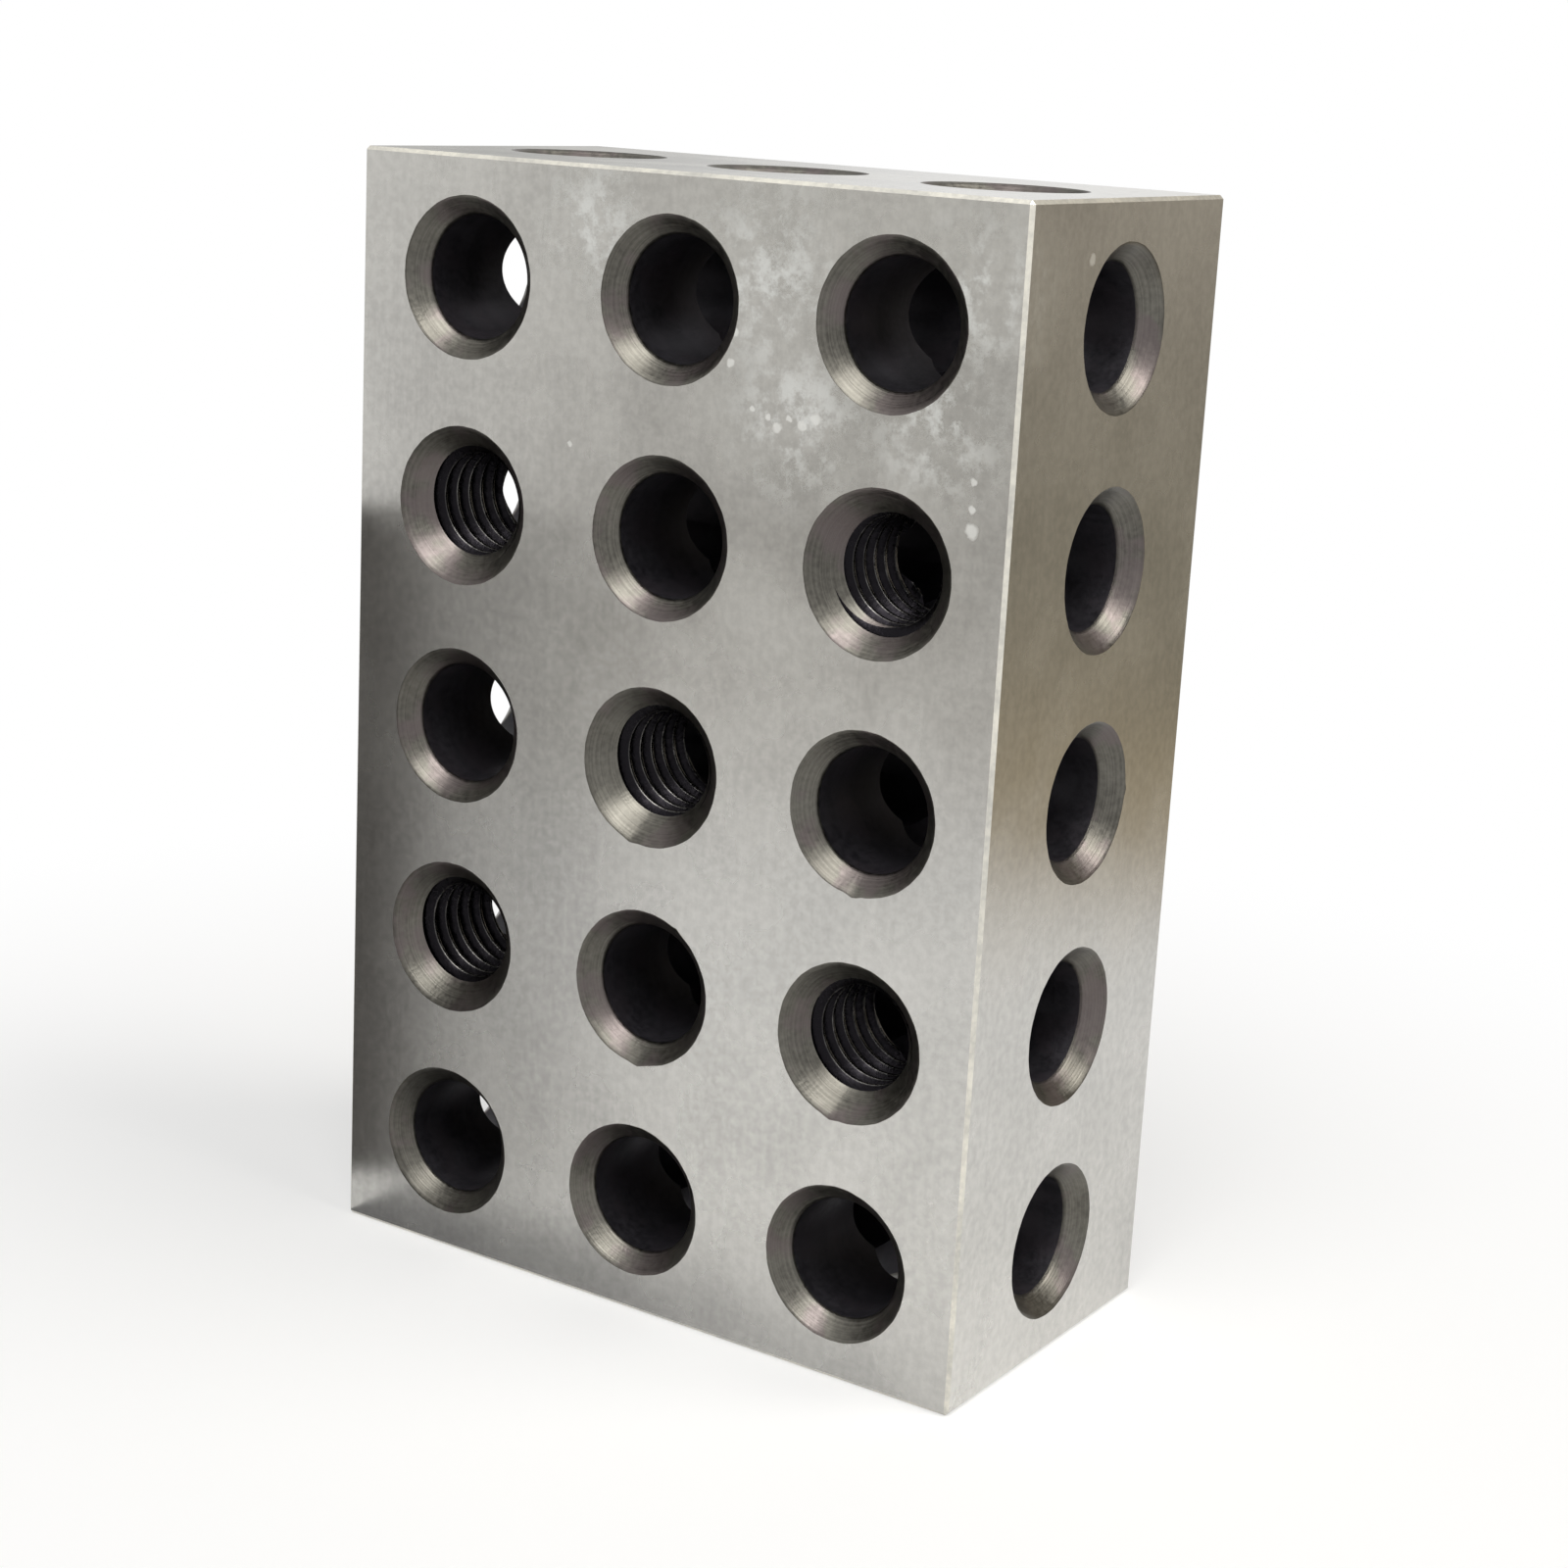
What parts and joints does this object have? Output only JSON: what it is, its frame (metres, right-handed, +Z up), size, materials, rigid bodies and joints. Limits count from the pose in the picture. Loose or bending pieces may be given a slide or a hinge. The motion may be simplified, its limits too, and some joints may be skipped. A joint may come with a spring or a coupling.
{
  "type": "machinist setup block",
  "caption": "Ground steel setup block, one by two by three inches, with a lattice of countersunk through holes that cross inside it, some of them tapped.",
  "frame": {"origin": "middle of the 1 x 2 inch end that the block stands on", "axes": "+Z up along the 3 inch length, X across the 2 inch width, Y through the 1 inch thickness, with -Y out of the front 2 x 3 inch face"},
  "size_m": [0.0508, 0.0254, 0.0762],
  "materials": {
    "ground_steel": "ground satin, with darker turned countersinks and dark scaled bores"
  },
  "bodies": {
    "root": {"block": "ground_steel"}
  },
  "joints": []
}
